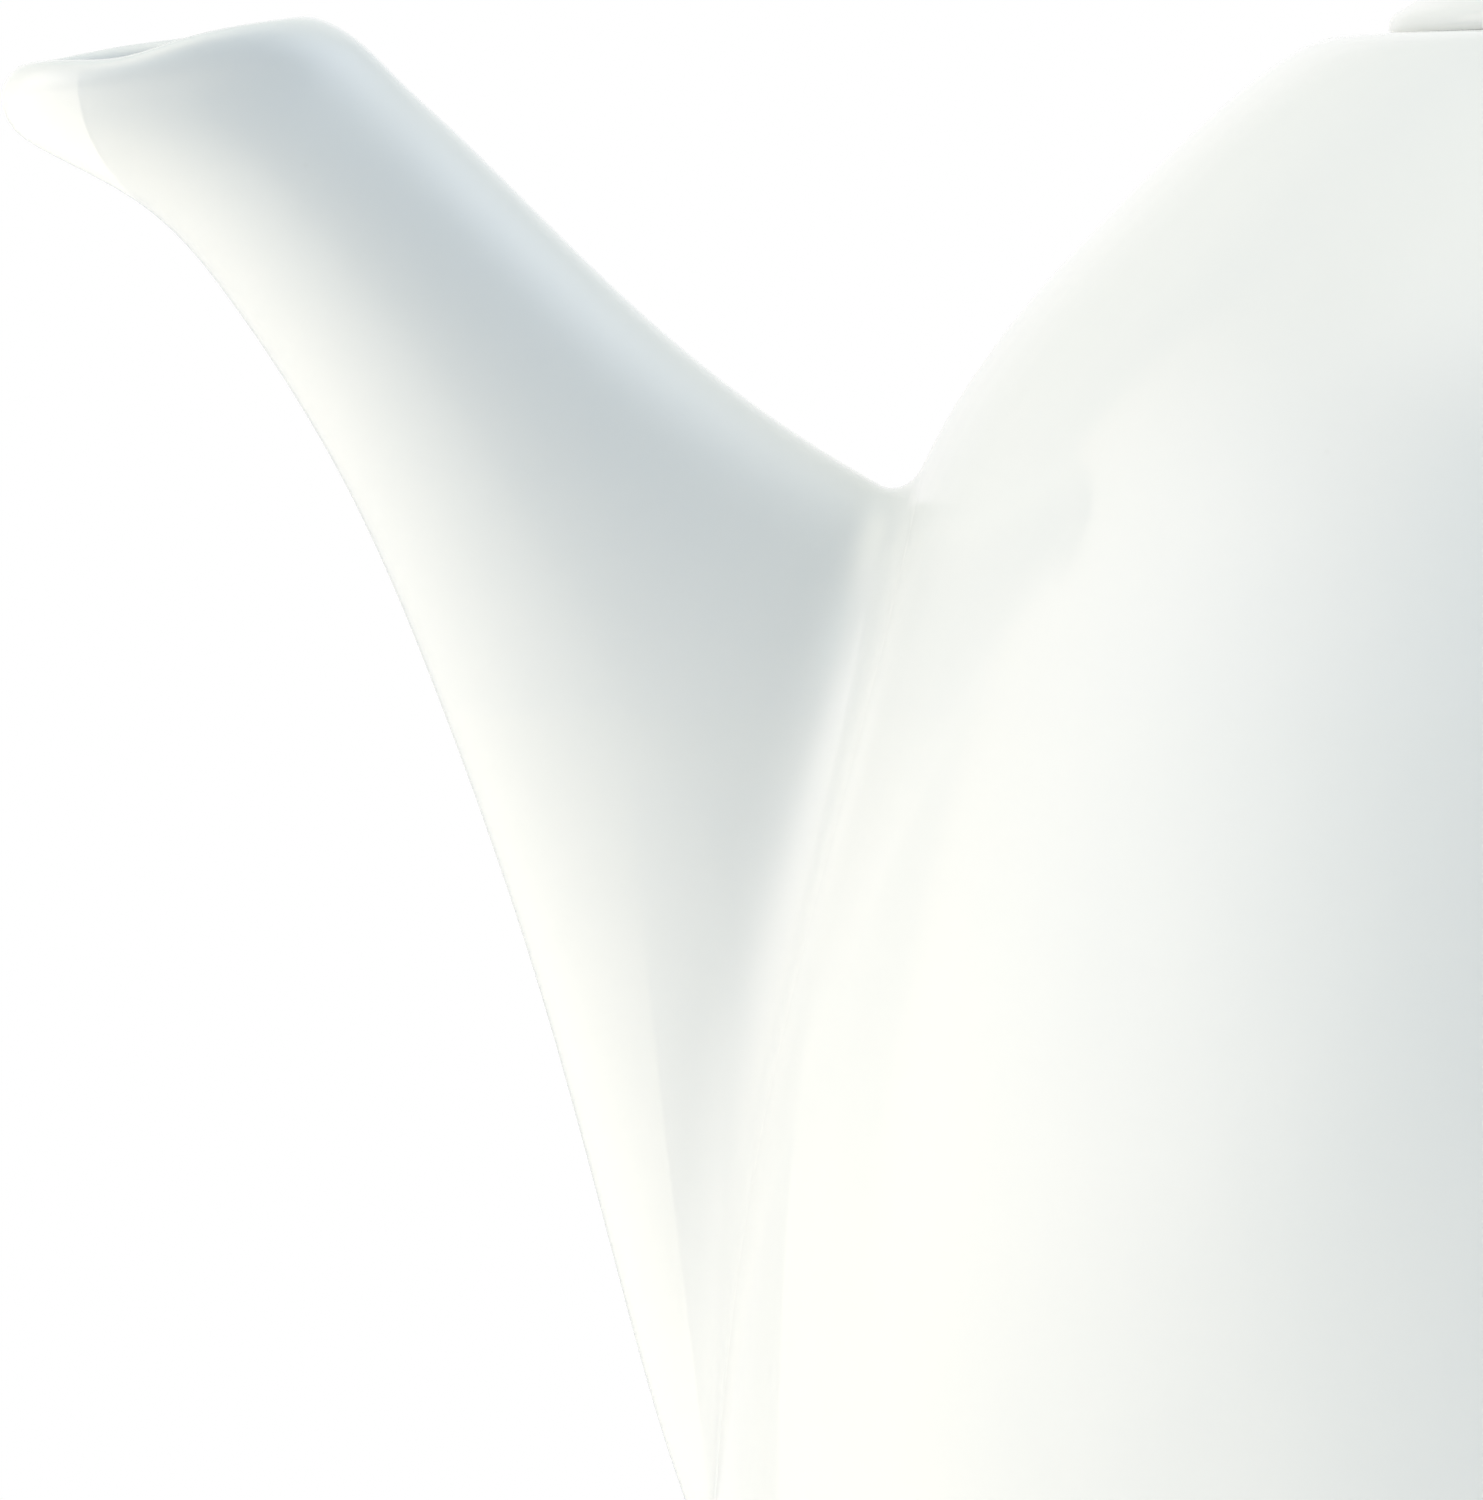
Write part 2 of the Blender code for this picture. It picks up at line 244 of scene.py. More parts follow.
def spline(points, steps):
    """A natural cubic spline through the points, by chord length: an array of steps + 1 rows."""
    points = np.array(points, float)
    count = len(points)
    chords = np.linalg.norm(np.diff(points, axis=0), axis=1)
    knots = np.concatenate([[0.0], np.cumsum(chords)])
    system = np.eye(count)
    bends = np.zeros_like(points)
    for k in range(1, count - 1):
        system[k, k - 1 : k + 2] = (chords[k - 1], 2 * (chords[k - 1] + chords[k]), chords[k])
        after = (points[k + 1] - points[k]) / chords[k]
        before = (points[k] - points[k - 1]) / chords[k - 1]
        bends[k] = 6 * (after - before)
    bends = np.linalg.solve(system, bends)
    at = np.linspace(0.0, knots[-1], steps + 1)
    span = np.clip(np.searchsorted(knots, at, side="right") - 1, 0, count - 2)
    h = chords[span][:, None]
    right = (at - knots[span])[:, None] / h
    left = 1 - right
    line = left * points[span] + right * points[span + 1]
    curve = ((left**3 - left) * bends[span] + (right**3 - right) * bends[span + 1]) * h**2 / 6
    return line + curve


def arc(centre, radius, start, end, steps):
    """Points on an arc in a profile plane, from one angle to another in degrees."""
    angles = np.radians(np.linspace(start, end, steps + 1))
    return np.stack([centre[0] + radius * np.cos(angles), centre[1] + radius * np.sin(angles)], 1)


def bezier(start, pull_start, pull_end, end, t):
    """Points on a cubic curve from its two ends and the two points that pull on it."""
    left = 1 - t
    return start * left**3 + 3 * pull_start * t * left**2 + 3 * pull_end * t**2 * left + end * t**3


def unit(vectors):
    """Vectors scaled to length one."""
    return vectors / np.maximum(np.linalg.norm(vectors, axis=-1, keepdims=True), 1e-12)


def raised(points, height):
    """Outline points whose heights are counted from another height."""
    return [(radius, height + up) for radius, up in points]


def offset_outline(outline, distance):
    """The outline moved to the left of its direction."""
    along = unit(np.gradient(outline, axis=0))
    return outline + np.stack([-along[:, 1], along[:, 0]], axis=1) * distance


def outer_wall(steps):
    """The body's outer surface, from just above the foot up to the flat of the rim."""
    wall = spline(BODY_OUTLINE, steps)
    wall[:, 0] *= min(1.0, BELLY_RADIUS / wall[:, 0].max())
    return wall


# The wall's section as dense points, with the direction along it and out of it at each
WALL_LINE = outer_wall(3000)
WALL_ALONG = unit(np.gradient(WALL_LINE, axis=0))
WALL_OUT = np.stack([WALL_ALONG[:, 1], -WALL_ALONG[:, 0]], axis=1)


def on_wall(points):
    """Distance off the body's outer surface, the nearest point on it and its normal there."""
    points = np.asarray(points, float)
    flat = points.reshape(-1, 3)
    radius = np.hypot(flat[:, 0], flat[:, 1])
    place = np.stack([radius, flat[:, 2]], axis=1)
    nearest = np.array([np.argmin(((WALL_LINE - p) ** 2).sum(axis=1)) for p in place])
    out = WALL_OUT[nearest]
    distance = ((place - WALL_LINE[nearest]) * out).sum(axis=1)
    turn = flat[:, :2] / np.maximum(radius, 1e-9)[:, None]
    normal = np.column_stack([turn * out[:, :1], out[:, 1]])
    foot = flat - normal * distance[:, None]
    shape = points.shape[:-1]
    return distance.reshape(shape), foot.reshape(points.shape), normal.reshape(points.shape)


def new_piece(name, bm, node, body):
    """A piece from a finished bmesh, smooth, standing for its CAD node and riding its body."""
    bmesh.ops.remove_doubles(bm, verts=bm.verts, dist=1e-7)
    bmesh.ops.recalc_face_normals(bm, faces=bm.faces)
    mesh = bpy.data.meshes.new(name)
    bm.to_mesh(mesh)
    bm.free()
    mesh.shade_smooth()
    obj = bpy.data.objects.new(name, mesh)
    bpy.context.collection.objects.link(obj)
    if node:
        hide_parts(node)
        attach(obj, body)
    return obj


def turned(name, outline, segments, node=None, body=None):
    """A solid of revolution about Z from an outline that starts and ends on the axis."""
    bm = bmesh.new()
    angles = np.linspace(0.0, 2 * math.pi, segments, endpoint=False)
    rings = []
    for radius, height in outline:
        turns = angles if radius > ON_AXIS else angles[:1]
        ring = [(radius * math.cos(a) * MM, radius * math.sin(a) * MM, height * MM) for a in turns]
        rings.append([bm.verts.new(place) for place in ring])
    for low, high in zip(rings, rings[1:]):
        for k in range(segments):
            after = (k + 1) % segments
            below = [low[k % len(low)], low[after % len(low)]]
            above = [high[after % len(high)], high[k % len(high)]]
            bm.faces.new(dict.fromkeys(below + above))
    return new_piece(name, bm, node, body)


def grid_mesh(name, rows, closed, node=None, body=None):
    """Quads through rows of equal length; the rows form a closed shell or get two end caps."""
    bm = bmesh.new()
    verts = [[bm.verts.new(tuple(p * MM)) for p in row] for row in rows]
    count = len(rows[0])
    pairs = list(zip(verts, verts[1:]))
    if closed:
        pairs.append((verts[-1], verts[0]))
    for near, far in pairs:
        for k in range(count):
            after = (k + 1) % count
            bm.faces.new((near[k], near[after], far[after], far[k]))
    if not closed:
        for end, row in ((verts[0], rows[0]), (verts[-1], rows[-1])):
            hub = bm.verts.new(tuple(row.mean(axis=0) * MM))
            for k in range(count):
                bm.faces.new((end[k], end[(k + 1) % count], hub))
    return new_piece(name, bm, node, body)


def cut(obj, tool, operation="DIFFERENCE"):
    """Applies a Boolean with the tool, then removes the tool."""
    modifier = obj.modifiers.new("cut", "BOOLEAN")
    modifier.operation = operation
    modifier.object = tool
    modifier.solver = "EXACT"
    bpy.context.view_layer.update()
    evaluated = obj.evaluated_get(bpy.context.evaluated_depsgraph_get())
    shaped = bpy.data.meshes.new_from_object(evaluated)
    obj.modifiers.clear()
    bm = bmesh.new()
    bm.from_mesh(shaped)
    bmesh.ops.remove_doubles(bm, verts=bm.verts, dist=WELD)
    bmesh.ops.dissolve_degenerate(bm, edges=bm.edges, dist=WELD)
    bm.to_mesh(shaped)
    bm.free()
    old = obj.data
    obj.data = shaped
    shaped.name = obj.name
    bpy.data.meshes.remove(old)
    bpy.data.objects.remove(tool)


def body_outline():
    """The body's section: foot, outer wall, rim, throat, inner wall and floor."""
    foot_inner = FOOT_RADIUS - FOOT_WIDTH
    floor = FOOT_HEIGHT + FLOOR_THICKNESS
    under = RIM_HEIGHT - THROAT_DEPTH
    throat = THROAT_RADIUS + RIM_ROUNDING
    outer = outer_wall(BODY_STEPS)
    inner = offset_outline(outer, WALL)
    lowest, highest = floor + WALL_ENDS, RIM_HEIGHT - WALL_ENDS
    inner = inner[(inner[:, 1] > lowest) & (inner[:, 1] < highest)][::-1]
    flare = [(FOOT_RADIUS + out, height) for out, height in FOOT_FLARE]
    return np.vstack(
        [
            raised(UNDERSIDE, FOOT_HEIGHT),
            spline(raised(FOOT_HOLLOW, FOOT_HEIGHT) + [(foot_inner, FOOT_INSIDE_HEIGHT)], 8),
            arc((foot_inner + FOOT_ROUNDING, FOOT_ROUNDING), FOOT_ROUNDING, 180, 270, 5),
            arc((FOOT_RADIUS - FOOT_ROUNDING, FOOT_ROUNDING), FOOT_ROUNDING, 270, 360, 5),
            spline(flare + [BODY_OUTLINE[0]], 6)[:-1],
            outer,
            arc((throat, RIM_HEIGHT - RIM_ROUNDING), RIM_ROUNDING, 90, 180, 6),
            arc((throat, under + RIM_ROUNDING), RIM_ROUNDING, 180, 262, 6),
            spline(raised(FLANGE_ROOT, under) + [inner[0]], 8)[:-1],
            inner,
            spline([inner[-1]] + raised(BOWL, floor), 14)[1:],
            [(0.0, floor)],
        ]
    )


def make_body():
    """The body, with the hole behind the spout and the notch that the lid's lug passes."""
    body = turned("body_porcelain", body_outline(), BODY_SEGMENTS, "pot_body", "pot")
    angles = np.linspace(0.0, 2 * math.pi, HOLE_SIDES, endpoint=False)
    across = HOLE_HALF_WIDTH * np.cos(angles)
    up = HOLE_HEIGHT + HOLE_HALF_HEIGHT * np.sin(angles)
    ends = [np.column_stack([np.full(HOLE_SIDES, x), across, up]) for x in (-HOLE_START, -HOLE_END)]
    cut(body, grid_mesh("hole", ends, closed=False))
    half = LUG_WIDTH / 2 + NOTCH_CLEARANCE
    low = (-LUG_REACH - NOTCH_CLEARANCE, -half, RIM_HEIGHT - THROAT_DEPTH - CUT_MARGIN)
    high = (-THROAT_RADIUS + NOTCH_INSIDE, half, RIM_HEIGHT + CUT_MARGIN)
    cut(body, block("notch", low, high, NOTCH_ROUNDING))
    body.data.set_sharp_from_angle(angle=math.radians(CUT_CREASE))
    return body


def block(name, low, high, rounding):
    """A box between two corners with its upright edges rounded."""
    low, high = np.array(low), np.array(high)
    bm = bmesh.new()
    bmesh.ops.create_cube(bm, size=1.0)
    for vert in bm.verts:
        vert.co = ((low + high) / 2 + np.array(vert.co) * (high - low)) * MM
    tall = (high[2] - low[2]) * MM / 2
    upright = [e for e in bm.edges if abs(e.verts[0].co.z - e.verts[1].co.z) > tall]
    bmesh.ops.bevel(bm, geom=upright, offset=rounding * MM, segments=5, profile=0.5, affect="EDGES")
    return new_piece(name, bm, None, None)


def stations_at(curve, at):
    """Stations of a dense curve at fractional places, by linear interpolation."""
    at = np.clip(at, 0.0, len(curve) - 1.001)
    low = np.floor(at).astype(int)
    share = (at - low)[..., None]
    return curve[low] * (1 - share) + curve[low + 1] * share


def spout_points(station, angle, inset):
    """Points round the spout's oval section, for matching arrays of stations and angles."""
    zero = np.zeros_like(station[..., 0])
    low = np.stack([station[..., 0], zero, station[..., 1]], -1)
    high = np.stack([station[..., 2], zero, station[..., 3]], -1)
    reach = (high - low) / 2
    half = np.linalg.norm(reach, axis=-1, keepdims=True)
    up = reach / half * (half - inset)
    side = np.stack([zero, station[..., 4] - inset, zero], -1)
    across = np.cos(angle)[..., None]
    around = np.sin(angle)[..., None]
    return (low + high) / 2 + up * across + side * around


def first_below(distances, level):
    """The fractional place along each column where the distance first falls below a level."""
    below = distances < level
    row = np.maximum(below.argmax(axis=0), 1)
    column = np.arange(distances.shape[1])
    before = distances[row - 1, column]
    after = distances[row, column]
    return row - 1 + (before - level) / np.maximum(before - after, 1e-9)


def fillet(start, heading, crossing, spread):
    """Rows that leave a tube's side along its heading and run out flat on the body's wall.

    Also gives the buried end, and the wall's normals under the last two rows.
    """
    _, base, normal = on_wall(crossing)
    round_it = np.roll(crossing, -1, axis=0) - np.roll(crossing, 1, axis=0)
    out = unit(np.cross(round_it, normal))
    middle = crossing.mean(axis=0)
    flip = np.sign(((crossing - middle) * out).sum(axis=1).sum())
    out = out * flip
    _, end, end_normal = on_wall(base + out * spread[:, None])
    leave = unit(out - end_normal * (out * end_normal).sum(axis=1, keepdims=True))
    pull_start = np.linalg.norm(base - start, axis=1, keepdims=True) * FILLET_PULL
    pull_end = np.linalg.norm(base - end, axis=1, keepdims=True) * FILLET_PULL
    a = start + heading * pull_start
    b = end - leave * pull_end
    rows = [bezier(start, a, b, end, t) for t in np.linspace(0.0, 1.0, FILLET_STEPS + 1)[1:]]
    _, beyond, beyond_normal = on_wall(end + leave * RUN_UNDER)
    rows.append(beyond - beyond_normal * SINK)
    buried = end - end_normal * BURY
    return rows, buried, (end_normal, beyond_normal)


def shade_as(obj, rows, known, closed):
    """Gives a piece the normals of the smooth surface its rows lie on; some rows' are known."""
    grid = np.array(rows)
    around = grid
    if closed:
        around = np.concatenate([grid[-1:], grid, grid[:1]])
    steps = np.linalg.norm(np.diff(around, axis=0), axis=2).mean(axis=1)
    places = np.concatenate([[0.0], np.cumsum(steps)])
    down = np.gradient(around, places, axis=0)
    if closed:
        down = down[1:-1]
    round_it = np.roll(grid, -1, axis=1) - np.roll(grid, 1, axis=1)
    normals = unit(np.cross(round_it, down))
    mesh = obj.data
    real = np.empty(len(mesh.vertices) * 3)
    mesh.vertices.foreach_get("normal", real)
    real = real.reshape(-1, 3)
    flat = normals.reshape(-1, 3)
    count = len(flat)
    flat = flat * np.where((flat * real[:count]).sum(axis=1) < 0, -1.0, 1.0)[:, None]
    width = grid.shape[1]
    for row, normal in known.items():
        flat[row * width : (row + 1) * width] = normal
    real[:count] = flat
    mesh.normals_split_custom_set_from_vertices([tuple(n) for n in real])


def distance_along(lines, distance):
    """The fractional place along each column of points at a given length from its start."""
    steps = np.linalg.norm(np.diff(lines, axis=0), axis=2)
    runs = np.concatenate([np.zeros((1, lines.shape[1])), np.cumsum(steps, axis=0)])
    index = np.arange(len(lines))
    return np.array([np.interp(d, run, index) for d, run in zip(distance, runs.T)])


def quarter(start, corner, end, count):
    """Points strictly between the ends of a rounded corner."""
    t = (np.arange(1, count) / count)[:, None, None]
    a = start + (corner - start) * CORNER_PULL
    b = end + (corner - end) * CORNER_PULL
    return bezier(start, a, b, end, t)


def fillet_level(across):
    """How far off the wall the spout's fillet begins, for places round the spout."""
    turn, size = spline(SPOUT_FILLET, 90).T
    return np.interp(np.degrees(np.arccos(across)), turn, size)


def sag(parts, crest, across, around):
    """Bends the lip: down on the near side and slightly up on the far one."""
    bend = np.exp(-(((across - SAG_AT) / SAG_WIDTH) ** 2))
    rise = bend * np.where(around < 0, around * NEAR_DIP, around * FAR_RISE)
    for part in parts:
        reach = np.linalg.norm(part - crest, axis=2)
        part[..., 2] += rise * np.exp(-((reach / SAG_REACH) ** 2))


def make_spout():
    """The hollow spout: outside, fillet onto the body, channel and rounded lip."""
    curve = spline(SPOUT_STATIONS, 600)
    angles = np.linspace(0.0, 2 * math.pi, SPOUT_SIDES, endpoint=False)
    across, around = np.cos(angles), np.sin(angles)
    all_stations = np.repeat(curve[:, None, :], SPOUT_SIDES, axis=1)
    rails = spout_points(all_stations, angles, 0.0)
    inner_rails = spout_points(all_stations, angles, SPOUT_WALL)
    off, _, _ = on_wall(rails)
    inner_off, _, _ = on_wall(inner_rails)

    level = fillet_level(across)
    begin = first_below(off, level)
    rounding = LIP_AT_BEAK + (LIP_AT_HEEL - LIP_AT_BEAK) * ((1 + across) / 2) ** 2
    top = distance_along(rails, rounding)
    share = np.linspace(0.0, 1.0, SPOUT_ROWS)[:, None] ** SPOUT_CROWDING
    outside = spout_points(stations_at(curve, top + share * (begin - top)), angles, 0.0)

    heading = unit(outside[-1] - outside[-2])
    cross = first_below(off, np.zeros(SPOUT_SIDES))
    crossing = spout_points(stations_at(curve, cross), angles, 0.0)
    spread = level * SPOUT_SPREAD[0] + SPOUT_SPREAD[1]
    run_out, buried, wall_normals = fillet(outside[-1], heading, crossing, spread)

    inner_end = first_below(inner_off, np.full(SPOUT_SIDES, -BURY))
    inner_top = distance_along(inner_rails, np.full(SPOUT_SIDES, LIP_INSIDE))
    share = np.linspace(1.0, 0.0, CHANNEL_ROWS)[:, None]
    place = inner_top + share * (inner_end - inner_top)
    channel = spout_points(stations_at(curve, place), angles, SPOUT_WALL)

    crest = rails[0] + (inner_rails[0] - rails[0]) * LIP_CREST
    into = quarter(channel[-1], inner_rails[0], crest, LIP_ROWS)
    out_of = quarter(crest, rails[0], outside[0], LIP_ROWS)
    lip = np.concatenate([into, crest[None], out_of])
    sag((outside, channel, lip), crest, across, around)

    rows = list(outside) + run_out + [buried] + list(channel) + list(lip)
    spout = grid_mesh("spout_porcelain", rows, True, "spout", "pot")
    flat_row = len(outside) + FILLET_STEPS - 1
    known = {flat_row: wall_normals[0], flat_row + 1: wall_normals[1]}
    shade_as(spout, rows, known, True)
    return spout


def handle_points(point, run, angle):
    """Points round the handle's oval section, for matching arrays."""
    zero = np.zeros_like(point[..., 0])
    centre = np.stack([point[..., 0], zero, point[..., 1]], -1)
    out = np.stack([-run[..., 1], zero, run[..., 0]], -1) * point[..., 2:3]
    side = np.stack([zero, point[..., 3], zero], -1)
    return centre + out * np.cos(angle)[..., None] + side * np.sin(angle)[..., None]


def make_handle():
    """The loop handle, with a fillet onto the body at each end."""
    dense = 800
    curve = spline(HANDLE_POINTS, dense)
    runs = unit(np.gradient(curve[:, :2], axis=0))
    angles = np.linspace(0.0, 2 * math.pi, HANDLE_SIDES, endpoint=False)
    both = np.column_stack([curve, runs])
    grid = np.repeat(both[:, None, :], HANDLE_SIDES, axis=1)
    rails = handle_points(grid[..., :4], grid[..., 4:], angles)
    off, _, _ = on_wall(rails)
    halfway = dense // 2
    level = np.full(HANDLE_SIDES, HANDLE_FILLET)
    zero = np.zeros(HANDLE_SIDES)
    upper, lower = off[: halfway + 1][::-1], off[halfway:]
    ends = {}
    for name, half, sign in (("upper", upper, -1), ("lower", lower, 1)):
        begin = halfway + sign * first_below(half, level)
        cross = halfway + sign * first_below(half, zero)
        ends[name] = (begin, cross)
    share = np.linspace(0.0, 1.0, HANDLE_ROWS)[:, None]
    at = ends["upper"][0] * (1 - share) + ends["lower"][0] * share
    stations = stations_at(both, at)
    strap = handle_points(stations[..., :4], stations[..., 4:], angles)
    rows = list(strap)
    caps = []
    for name, start, before in (("upper", strap[0], strap[1]), ("lower", strap[-1], strap[-2])):
        station = stations_at(both, ends[name][1])
        crossing = handle_points(station[..., :4], station[..., 4:], angles)
        caps.append(fillet(start, unit(start - before), crossing, level * HANDLE_SPREAD))
    (top_rows, top_buried, top_normals), (low_rows, low_buried, low_normals) = caps
    rows = [top_buried] + top_rows[::-1] + rows + low_rows + [low_buried]
    handle = grid_mesh("handle_porcelain", rows, False, "handle", "pot")
    last = len(rows) - 1
    known = {
        1: top_normals[1],
        2: top_normals[0],
        last - 1: low_normals[1],
        last - 2: low_normals[0],
    }
    shade_as(handle, rows, known, False)
    return handle


def lid_outline():
    """The lid's section: dome, rounded flange, skirt and hollow underside."""
    dome = spline(LID_DOME, 60)
    skirt_inner = SKIRT_RADIUS - SKIRT_WALL
    rounding = SKIRT_WALL / 2
    corner = [(skirt_inner, 167.0), (skirt_inner - 0.6, 169.0)]
    return np.vstack(
        [
            dome,
            spline([dome[-1]] + LID_EDGE, 12)[1:],
            FLANGE_EDGE,
            SKIRT_ROOT,
            [(SKIRT_RADIUS, SKIRT_TOP), (SKIRT_RADIUS, SKIRT_MIDDLE)],
            arc((SKIRT_RADIUS - rounding, SKIRT_BOTTOM + rounding), rounding, 0, -180, 10),
            [(skirt_inner, SKIRT_MIDDLE)],
            spline(corner + LID_CEILING, 24),
        ]
    )


def vent_outline():
    """A spool-shaped cutter that leaves a hole with softened edges."""
    wide = VENT_RADIUS + VENT_ROUNDING
    return np.vstack(
        [
            [(0.0, VENT_FOOT - CUT_MARGIN), (wide, VENT_FOOT - CUT_MARGIN)],
            arc((wide, VENT_FOOT), VENT_ROUNDING, 270, 180, 5),
            arc((wide, VENT_TOP), VENT_ROUNDING, 180, 90, 5),
            [(wide, VENT_TOP + CUT_MARGIN), (0.0, VENT_TOP + CUT_MARGIN)],
        ]
    )


def make_lid():
    """The lid, with its lug and its vent."""
    lid = turned("lid_porcelain", lid_outline(), LID_SEGMENTS, "lid", "lid")
    bottom = SKIRT_BOTTOM + LUG_RAISE
    low = (-LUG_REACH, -LUG_WIDTH / 2, bottom)
    high = (-SKIRT_RADIUS + SKIRT_WALL / 2, LUG_WIDTH / 2, bottom + LUG_HEIGHT)
    cut(lid, block("lug", low, high, LUG_ROUNDING), "UNION")
    vent = turned("vent", vent_outline(), VENT_SEGMENTS)
    vent.data.transform(Matrix.Translation((VENT_OFFSET * MM, 0.0, 0.0)))
    cut(lid, vent)
    lid.data.set_sharp_from_angle(angle=math.radians(CUT_CREASE))
    return lid


def make_knob():
    """The knob, run out in a fillet on the dome below it."""
    dome = spline(LID_DOME, 600)
    foot_at = np.argmin(np.abs(dome[:, 0] - NECK_FOOT_RADIUS))
    foot, inwards = dome[foot_at], dome[foot_at - 1]
    neck = np.array(KNOB_OUTLINE[0])
    down = foot + unit(inwards - foot) * NECK_ON_DOME
    up = neck - np.array(NECK_ON_KNOB)
    t = np.linspace(0.0, 1.0, NECK_STEPS + 1)[:, None]
    beyond = dome[foot_at + NECK_RUN] - np.array([0.0, SINK])
    base = foot[1] - KNOB_SUNK
    outline = np.vstack(
        [
            [(0.0, base), (foot[0], base)],
            [beyond],
            bezier(foot, down, up, neck, t),
            spline(KNOB_OUTLINE, KNOB_STEPS)[1:],
        ]
    )
    knob = turned("knob_porcelain", outline, KNOB_SEGMENTS, "lid_knob", "lid")
    knob.data.set_sharp_from_angle(angle=math.radians(KNOB_CREASE))
    return knob


def node(tree, kind, **settings):
    """Adds a shader node and sets its properties."""
    made = tree.nodes.new("ShaderNode" + kind)
    for name, value in settings.items():
        setattr(made, name, value)
    return made


def noise(tree, scale, detail=2.0, roughness=0.5, warp=0.0):
    """Object-space noise; the scale is in features per metre."""
    place = node(tree, "TexCoord")
    texture = node(tree, "TexNoise")
    texture.inputs["Scale"].default_value = scale
    texture.inputs["Detail"].default_value = detail
    texture.inputs["Roughness"].default_value = roughness
    texture.inputs["Distortion"].default_value = warp
    tree.links.new(place.outputs["Object"], texture.inputs["Vector"])
    return texture.outputs["Fac"]


def ramp(tree, value, low, high, to_low, to_high):
    """Maps a value's range smoothly on to another."""
    made = node(tree, "MapRange", interpolation_type="SMOOTHSTEP")
    tree.links.new(value, made.inputs["Value"])
    limits = {"From Min": low, "From Max": high, "To Min": to_low, "To Max": to_high}
    for name, number in limits.items():
        made.inputs[name].default_value = number
    return made.outputs[0]


def math_node(tree, operation, first, second):
    """Two values put together."""
    made = node(tree, "Math", operation=operation)
    for socket, value in zip(made.inputs, (first, second)):
        tree.links.new(value, socket)
    return made.outputs[0]


def mixed(tree, factor, first, second):
    """A colour between two others."""
    made = node(tree, "Mix", data_type="RGBA")
    tree.links.new(factor, made.inputs["Factor"])
    for name, colour in (("A", first), ("B", second)):
        if isinstance(colour, tuple):
            made.inputs[name].default_value = colour
        else:
            tree.links.new(colour, made.inputs[name])
    return made.outputs["Result"]


def bumped(tree, height, distance, strength, below=None):
    """A bump from heights between 0 and 1 that are worth a distance in metres."""
    made = node(tree, "Bump")
    made.inputs["Distance"].default_value = distance
    made.inputs["Strength"].default_value = strength
    tree.links.new(height, made.inputs["Height"])
    if below:
        tree.links.new(below, made.inputs["Normal"])
    return made.outputs["Normal"]


def new_material(name):
    """A material, its node tree and the shader in it."""
    material = bpy.data.materials.new(name)
    material.use_nodes = True
    return material, material.node_tree, material.node_tree.nodes["Principled BSDF"]


# Looks of the glaze: colours are linear, scales are in features per metre, bumps are
# (distance in metres, strength)
GLAZE_IOR = 1.5
GLAZE_THICK = (0.850, 0.858, 0.834, 1.0)
GLAZE_THIN = (0.872, 0.874, 0.846, 1.0)
GLAZE_ROUGHNESS = (0.075, 0.13)
GLAZE_CLOUDS = 26.0
GLAZE_SMEARS = 60.0
GLAZE_WAVES = 42.0
GLAZE_PEEL = 420.0
WAVE_BUMP = (0.00018, 0.5)
PEEL_BUMP = (0.000012, 0.5)
PINHOLE_CELLS = 210.0
PINHOLE_AREAS = 95.0
PINHOLE_COLOUR = (0.74, 0.73, 0.69, 1.0)
PINHOLE_BUMP = (0.00008, 0.6)

# Looks of the bare clay, and the height in millimetres up to which the foot is bare
CLAY_DARK = (0.74, 0.71, 0.65, 1.0)
CLAY_LIGHT = (0.80, 0.78, 0.72, 1.0)
CLAY_GRAINS = (0.56, 0.53, 0.48, 1.0)
CLAY_ROUGHNESS = (0.55, 0.72)
CLAY_GRAIN = 2600.0
CLAY_CLOUDS = 120.0
CLAY_BUMP = (0.00005, 0.7)
BARE_HEIGHT = 1.2


def glaze_material():
    """Clear glaze over white porcelain: milky, glossy, with faint waves and rare pinholes."""
    material, tree, shader = new_material("glazed_porcelain")
    shader.inputs["IOR"].default_value = GLAZE_IOR

    depth = ramp(tree, noise(tree, GLAZE_CLOUDS, 3.0, 0.55, 0.3), 0.3, 0.7, 0.0, 1.0)
    body = mixed(tree, depth, GLAZE_THICK, GLAZE_THIN)
    cells = node(tree, "TexVoronoi")
    cells.inputs["Scale"].default_value = PINHOLE_CELLS
    place = node(tree, "TexCoord")
    tree.links.new(place.outputs["Object"], cells.inputs["Vector"])
    rare = ramp(tree, noise(tree, PINHOLE_AREAS, 1.0), 0.66, 0.74, 0.0, 1.0)
    dot = ramp(tree, cells.outputs["Distance"], 0.03, 0.085, 1.0, 0.0)
    pinholes = math_node(tree, "MULTIPLY", rare, dot)
    speck = mixed(tree, pinholes, body, PINHOLE_COLOUR)
    tree.links.new(speck, shader.inputs["Base Color"])

    smear = noise(tree, GLAZE_SMEARS, 5.0, 0.6, 0.5)
    gloss = ramp(tree, smear, 0.3, 0.75, *GLAZE_ROUGHNESS)
    tree.links.new(gloss, shader.inputs["Roughness"])

    waves = noise(tree, GLAZE_WAVES, 1.5, 0.4)
    peel = noise(tree, GLAZE_PEEL, 1.0)
    rough = bumped(tree, waves, *WAVE_BUMP)
    rough = bumped(tree, peel, *PEEL_BUMP, rough)
    pits = ramp(tree, pinholes, 0.0, 1.0, 1.0, 0.0)
    tree.links.new(bumped(tree, pits, *PINHOLE_BUMP, rough), shader.inputs["Normal"])
    return material


